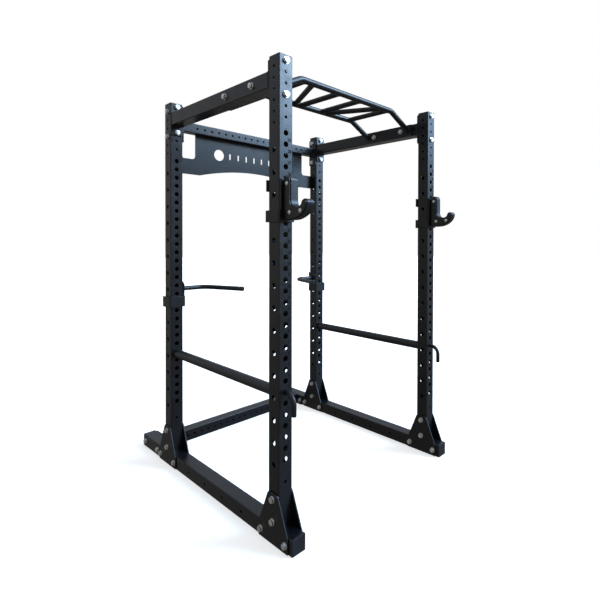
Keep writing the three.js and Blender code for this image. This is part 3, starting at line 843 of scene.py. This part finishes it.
def hooks():
    for side in SIDES:
        body = f"hook_{side}"
        post = middle(f"upright_front_{side}")
        x, y = post.x, post.y
        plan = [(x + 25.5 * MM, y + FAR), (x - FAR, y + FAR), (x - FAR, y - FAR), (x + FAR, y - FAR),
                (x + FAR, y + FAR), (x - 43.5 * MM, y + FAR)]
        z = HOOK_LEVELS
        left, right = (2, FAR - TUBE_HALF), (2, FAR + TUBE_HALF)
        rows = [(z[0], z[1], (0, 0), right), (z[1], z[2], left, right), (z[2], z[3], left, (5, 0))]
        sleeve = f"hook_sleeve_{side}"
        bracket(sleeve + "_steel", plan, rows, body, sleeve)
        lining = [(px - math.copysign(INSET, px - x), py - math.copysign(INSET, py - y)) for px, py in plan]
        lining[0], lining[-1] = (x + 23 * MM, y + FAR - INSET), (x - 40 * MM, y + FAR - INSET)
        hem = 1.5 * MM
        start, end = (2, hem + 4 * MM), (2, FAR + TUBE_HALF - INSET - hem)
        liner(sleeve, lining, [(z[0] + hem, z[1] - hem, (0, 0), end), (z[1] - hem, z[2] + hem, start, end),
                               (z[2] + hem, z[3] - hem, start, (5, 0))], body)
        pin = [(9.0, 32), (LOCATING_R, 30.5), (LOCATING_R, -41), (LOCATING_R, -46)]
        build(sleeve + "_pin", turn(lathe(in_mm(pin)), "y", (x, y, HOOK_PIN_Z)), "bar", body)
        core = f"hook_core_{side}"
        outline = hook_outline(y, 4 * MM, -49.9 * MM)
        build(core + "_block", plate_mesh([outline], "x", *around(x, CORE_HALF), 2.2 * MM), "plastic", body,
              replaces=[core])
        for tag, d in (("a", -1), ("b", 1)):
            cheek = f"hook_cheek_{side}_{tag}"
            layer = ordered(x + d * (CORE_HALF + 0.05 * MM), x + d * CHEEK_OUT)
            shape = plate_mesh([hook_outline(y, 0, -56 * MM)], "x", *layer, 1.0 * MM)
            build(cheek + "_plate", shape, "plate", body, replaces=[cheek])
            for i, (dy, sz) in enumerate(HOOK_SCREWS, 1):
                spot = Vector((x + d * CHEEK_OUT, y + dy * MM, sz * MM))
                button_screw(f"hook_screw_{side}_{tag}_{i}", spot, d, body)


def button_screw(name, at, outward, body):
    """Button-head screw with a socket, on a plain washer."""
    dome = arc_points((0, 0), 1, 0, 90, 6)
    profile = [(9.0, 0), (9.3, 0.3), (9.3, 1.2), (9.0, 1.5), (7.9, 1.5)]
    profile += [(3.4 + 4.4 * c, 1.5 + 3.7 * s) for c, s in dome]
    profile += [(3.1, 5.1), (3.0, 2.3)]
    build(name, turn(lathe(in_mm(profile), 30), "x", at, outward), "zinc", body)


# ---- safeties and dip handles ----
def safeties():
    for side in SIDES:
        node = f"safety_pin_{side}"
        low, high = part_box(node)
        x, bent = middle(node).x, low.y + (high.x - low.x) / 2
        path = fillet([(x, high.y, SAFETY_Z), (x, bent, SAFETY_Z), (x, bent, low.z)], SAFETY_BEND, 14)
        build(node + "_rod", rod(path, SAFETY_R, 3 * MM), "bar", node, replaces=[node])
        node = f"safety_pipe_{side}"
        low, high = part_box(node)
        outer, bore, lip = PIPE_OUTER, PIPE_BORE, 1 * MM
        profile = [(outer, low.y + lip), (outer, high.y - lip), (outer - 0.3 * lip, high.y - 0.3 * lip),
                   (outer - lip, high.y), (bore + lip, high.y), (bore, high.y - lip), (bore, low.y + lip),
                   (bore + lip, low.y), (outer - lip, low.y), (outer - 0.3 * lip, low.y + 0.3 * lip)]
        shape = stitch([circle(r, h, 48) for r, h in profile + profile[:1]])
        build(node + "_tube", turn(shape, "y", (middle(node).x, 0, PIPE_Z)), "bar", node, replaces=[node])


def dip_handles():
    for side, s in SIDES.items():
        body = f"dip_{side}"
        post = middle(f"upright_rear_{side}")
        x, y, z = post.x, post.y, DIP_Z
        low_z, band, top = DIP_LEVELS
        inner, outer = x - s * FAR, x + s * FAR
        plan = [(inner, y + TUBE_HALF), (inner, y - FAR), (outer, y - FAR), (outer, y + TUBE_HALF + 6 * MM)]
        plate_end = (0, 2 * TUBE_HALF)
        clip = 16 * MM
        rows = [(low_z, band, (0, 0), (3, 0)), (band, top, (0, 0), (0, 2 * TUBE_HALF - clip)),
                (band, top, (0, 2 * TUBE_HALF - clip), plate_end)]

        def trim(p, height, edge=y - TUBE_HALF + clip):
            return height - max(0.0, edge - p.y) if height > band + 1 * MM else height

        node = f"dip_handle_{side}"
        bracket(node + "_bracket", plan, rows, body, node, trim)
        hem = 2 * MM
        lining = [(inner + s * INSET, y + TUBE_HALF - hem), (inner + s * INSET, y - FAR + INSET),
                  (outer - s * INSET, y - FAR + INSET), (outer - s * INSET, y + TUBE_HALF + 4 * MM)]
        liner(node, lining, [(low_z + hem, band - hem, (0, 0), (3, 0)),
                             (band - hem, top - clip - hem, (0, 0), (0, 2 * TUBE_HALF - 2 * hem))], body)
        pin = [(9.0, 41), (LOCATING_R, 39.5), (LOCATING_R, -1), (LOCATING_R, -4)]
        build(node + "_pin", turn(lathe(in_mm(pin)), "x", (x - s * NEAR, y, z), -s), "bar", body)
        inward, forward = math.sin(DIP_SPLAY), math.cos(DIP_SPLAY)
        lead = DIP_BEND * math.tan((math.pi / 2 - DIP_SPLAY) / 2)
        elbow = FAR + 103 * MM + lead
        tail = 250 * MM + lead
        ends = [(x - s * (elbow + inward * t), y - forward * t, z) for t in (tail, tail + 8 * MM)]
        path = fillet([(x - s * (FAR - 1 * MM), y, z), (x - s * elbow, y, z), ends[0]], DIP_BEND, 14)
        build(node + "_bar", sweep(path, DIP_R, 36), "bar", body)
        loop = [(inner, y + a, z + b) for a, b, _ in circle(DIP_R, 0, 36)]
        build(node + "_weld", sweep(loop, ripple(36), 10, closed=True), "bar", body, smooth=80)
        node = f"dip_cap_{side}"
        build(node + "_plug", end_plug(Vector(ends[0]), Vector(ends[1])), "plastic", body, replaces=[node])


def end_plug(start, end):
    """Moulded plug: straight collar with a rounded crown."""
    axis = (end - start).normalized()
    profile = [(15.0, 0.3), (15.0, 4.5), (14.6, 6.4), (13.2, 7.5), (10.5, 7.95), (6.0, 8.0)]
    return sweep([start + axis * h * MM for _, h in profile], [r * MM for r, _ in profile], 36)


# ---- fasteners ----
def hexagon(across_flats, low, high, chamfer_low=False):
    """Hexagonal head or nut with its corners turned down at the top, and at the bottom if asked."""
    inner, sides = across_flats / 2, 48
    angles = [2 * math.pi * i / sides for i in range(sides)]
    flat = [inner / math.cos((t + math.pi / 6) % (math.pi / 3) - math.pi / 6) for t in angles]

    def loop(radii, heights):
        return [(r * math.cos(t), r * math.sin(t), h) for r, t, h in zip(radii, angles, heights)]

    crown = 0.94 * inner
    slope = [(r - crown) * 0.42 for r in flat]
    rings = []
    if chamfer_low:
        rings += [loop([crown] * sides, [low] * sides), loop(flat, [low + d for d in slope])]
    else:
        rings.append(loop(flat, [low] * sides))
    rings += [loop(flat, [high - d for d in slope]), loop([crown] * sides, [high] * sides)]
    return stitch(rings, caps=True)


def washer(at, direction=1):
    profile = [(14.2, 0), (15.2, 0.1), (15.5, 0.5), (15.5, 2.2), (15.1, 2.7), (13.8, 2.8)]
    return lathe([(r, at + direction * h) for r, h in in_mm(profile)])


def bolt_shape(grip):
    """Hex bolt along local Z: head and washer on top, washer, nut and thread end below the grip."""
    head = hexagon(BOLT_HEX, 2.8 * MM, 12.3 * MM)
    nut = hexagon(BOLT_HEX, -grip - 14.0 * MM, -grip - 2.8 * MM, True)
    thread, h = [(5.2, -grip / MM - 17.0), (6.0, -grip / MM - 16.1)], -grip / MM - 16.1
    while h < -grip / MM - 12.9:
        thread += [(6.0, h + 0.3), (5.35, h + 0.8), (6.0, h + 1.3)]
        h += 1.4
    thread += [(6.0, 3.0)]
    return merge([head, washer(0), washer(-grip, -1), nut, lathe(in_mm(thread), 24)])


def bolt(name, axis, at, outward, grip, replaces=()):
    build(name, turn(bolt_shape(grip), axis, at, outward), "zinc", replaces=replaces, smooth=28)


def outer_face(node, s):
    low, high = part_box(node)
    return high.x if s > 0 else low.x


def fasteners():
    for side, s in SIDES.items():
        for end in ENDS:
            d = -1 if end == "front" else 1
            post = middle(f"upright_{end}_{side}")
            for i in range(1, 5):
                node = f"bolt_{end}_{side}_{i}"
                spot = middle(node)
                face = outer_face(f"gusset_{end}_{side}_outer", s)
                bolt(node + "_hex", "x", (face, spot.y, spot.z), s, GUSSET_GRIP, [node])
            for tag, z in zip(("lower", "upper"), FLANGE_BOLTS):
                at = (post.x, post.y + d * TUBE_HALF, z)
                bolt(f"top_flange_bolt_{end}_{side}_{tag}", "y", at, d, FLANGE_GRIP)
        for tag, z in zip(("lower", "upper"), MEMBER_BOLTS):
            post = middle(f"upright_rear_{side}")
            at = (post.x + s * TUBE_HALF, post.y, z)
            bolt(f"rear_member_bolt_{side}_{tag}", "x", at, s, FLANGE_GRIP)
        face = outer_face(f"floor_beam_{side}", s)
        low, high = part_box("rear_floor_member")
        for tag, y in (("front", low.y + 20 * MM), ("rear", high.y - 20 * MM)):
            bolt(f"floor_member_bolt_{side}_{tag}", "x", (face, y, TUBE_HALF), s, FLANGE_GRIP)
        inner = s * (abs(face) - FLANGE_GRIP)
        for tag, y in zip(ENDS, pull_up_bolts()):
            at = (inner, y, middle(f"top_beam_{side}").z)
            bolt(f"pull_up_bolt_{side}_{tag}", "x", at, -s, FLANGE_GRIP)


# ---- numbers ----
def digits(text, height):
    """Flat thin mesh of a number, centred on the origin in its own plane."""
    curve = bpy.data.curves.new("digits", "FONT")
    curve.body, curve.size, curve.extrude = text, height / 0.72, 0.06 * MM
    curve.offset = 0.8 * MM
    curve.align_x, curve.align_y = "CENTER", "CENTER"
    curve.resolution_u = 3
    holder = bpy.data.objects.new("digits", curve)
    mesh = bpy.data.meshes.new_from_object(holder)
    bpy.data.objects.remove(holder)
    shape = [tuple(v.co) for v in mesh.vertices], [list(p.vertices) for p in mesh.polygons]
    bpy.data.meshes.remove(mesh)
    return shape


def hole_numbers():
    for side in SIDES:
        post = middle(f"upright_front_{side}")
        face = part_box(f"upright_front_{side}")[0].y
        parts = []
        for k, z in enumerate(HOLES_FRONT[:-1]):
            shape = digits(str(k + 1), 15 * MM)
            parts.append(turn(shape, "y", (post.x + 20 * MM, face - 0.02 * MM, z + 20 * MM)))
        build(f"hole_numbers_{side}", merge(parts), "marking")


# ---- floor, light and camera ----
def studio():
    mesh = bpy.data.meshes.new("studio_floor")
    far = FLOOR_HALF
    mesh.from_pydata([(-far, -far, 0), (far, -far, 0), (far, far, 0), (-far, far, 0)], [], [(0, 1, 2, 3)])
    ground = bpy.data.objects.new("studio_floor", mesh)
    bpy.context.scene.collection.objects.link(ground)
    mesh.materials.append(floor_paint())
    ground.location.z = -0.2 * MM

    ground.visible_diffuse = ground.visible_glossy = False
    world = bpy.data.worlds.new("studio")
    bpy.context.scene.world = world
    world.use_nodes = True
    world.node_tree.nodes.clear()
    n = Nodes(world.node_tree)

    def background(colour, strength):
        return n.add("Background", {"Color": (*colour, 1), "Strength": strength}).outputs[0]

    def ease(*levels):
        return n.span(*levels, interpolation_type="SMOOTHSTEP")

    direction = n.add("TexCoord").outputs["Generated"]
    height = n.add("SeparateXYZ", {0: direction}).outputs["Z"]
    flat = n.vector("NORMALIZE", {0: n.vector("MULTIPLY", {0: direction, 1: (1, 1, 0)})})
    toward = n.vector("DOT_PRODUCT", {0: flat, 1: SKY_SIDE}, "Value")
    rise = n.math("MULTIPLY", ease(height, *SKY_EDGE, SKY_FOOT, 1.0), ease(height, *SKY_CROWN))
    lift = n.math("MULTIPLY", rise, ease(toward, *SKY_SWEEP, SKY_DIM, SKY_BRIGHT))
    sky = background(SKY_COLOUR, lift)
    warm = background(GROUND_COLOUR, ease(height, -0.5, 0.1, *GROUND_LIGHT))
    room = n.add("AddShader", {0: sky, 1: warm}).outputs[0]
    camera_ray = n.add("LightPath").outputs["Is Camera Ray"]
    seen = n.add("MixShader", {0: camera_ray, 1: room, 2: background((1, 1, 1), 1.0)})
    n.add("OutputWorld", {"Surface": seen.outputs[0]})


def key_light():
    light = bpy.data.lights.new("key", "AREA")
    light.shape, light.size, light.size_y = "RECTANGLE", *KEY_SIZE
    light.energy, light.color = KEY_POWER, KEY_COLOUR
    obj = bpy.data.objects.new("key", light)
    bpy.context.scene.collection.objects.link(obj)
    obj.location = KEY_AT
    obj.rotation_mode = "QUATERNION"
    obj.rotation_quaternion = (Vector(KEY_AIM) - Vector(KEY_AT)).to_track_quat("-Z", "Y")


def camera():
    """Stands at the front left at chest height, looking level across the cage."""
    data = bpy.data.cameras.new("camera")
    data.sensor_width, data.lens = CAMERA_SENSOR, CAMERA_LENS
    data.shift_x, data.shift_y = CAMERA_SHIFT
    data.clip_end = 100
    obj = bpy.data.objects.new("camera", data)
    bpy.context.scene.collection.objects.link(obj)
    sin_a, cos_a = math.sin(CAMERA_AZIMUTH), math.cos(CAMERA_AZIMUTH)
    level = math.cos(CAMERA_PITCH)
    forward = Vector((sin_a * level, cos_a * level, math.sin(CAMERA_PITCH)))
    right = Vector((cos_a, -sin_a, 0))
    up = right.cross(forward)
    sin_r, cos_r = math.sin(CAMERA_ROLL), math.cos(CAMERA_ROLL)
    right, up = right * cos_r + up * sin_r, up * cos_r - right * sin_r
    turned = Matrix((right, up, -forward)).transposed().to_4x4()
    obj.matrix_world = Matrix.Translation(CAMERA_AT) @ turned
    bpy.context.scene.camera = obj


uprights()
caps()
floor_beams()
top_beams()
cross_members()
gussets()
sign_plate()
pull_up_bar()
hooks()
safeties()
dip_handles()
fasteners()
hole_numbers()
studio()
key_light()
camera()
bpy.context.scene.view_settings.view_transform = "Standard"
